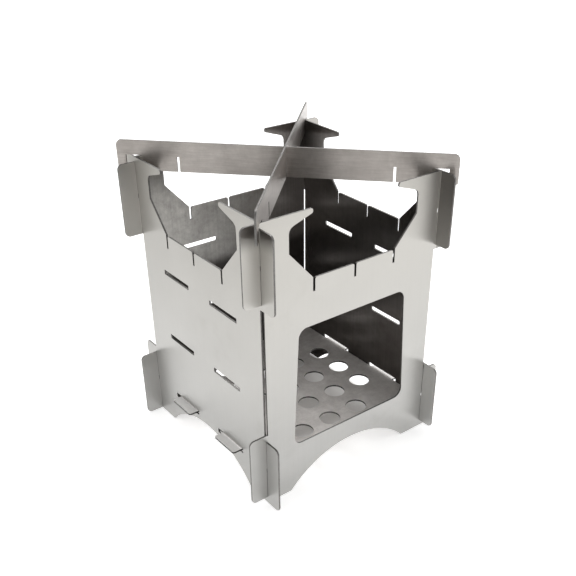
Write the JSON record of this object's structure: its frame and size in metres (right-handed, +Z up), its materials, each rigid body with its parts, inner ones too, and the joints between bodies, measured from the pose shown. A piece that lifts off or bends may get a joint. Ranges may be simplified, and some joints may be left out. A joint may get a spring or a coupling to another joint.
{
  "type": "camping wood stove",
  "caption": "Plug-together sheet-steel camping wood stove: slotted panels in a square ring, fuel door, perforated fire grate and two crossed bars as pot support.",
  "frame": {"origin": "on the ground under the centre of the ring of panels", "axes": "+Z up; the fuel door faces -Y; the lower crossbar runs from the corner at -X -Y to the corner at +X +Y and the upper one over the other two corners"},
  "size_m": [0.154, 0.154, 0.1946],
  "materials": {
    "panel_steel": "satin stainless sheet, fine grain",
    "grate_steel": "satin stainless sheet, slightly darker",
    "bar_steel": "stainless sheet brushed along its length"
  },
  "bodies": {
    "firebox": {"front_panel": "panel_steel", "left_panel": "panel_steel", "back_panel": "panel_steel", "right_panel": "panel_steel", "fire_grate": "grate_steel"},
    "lower_bar": {"lower_crossbar": "bar_steel"},
    "upper_bar": {"upper_crossbar": "bar_steel"}
  },
  "joints": [
    {"name": "lower_bar_lift", "type": "slide", "parent": "firebox", "child": "lower_bar", "axis": [0, 0, 1], "range_m": [0, 0.015]},
    {"name": "upper_bar_lift", "type": "slide", "parent": "lower_bar", "child": "upper_bar", "axis": [0, 0, 1], "range_m": [0, 0.03]}
  ]
}
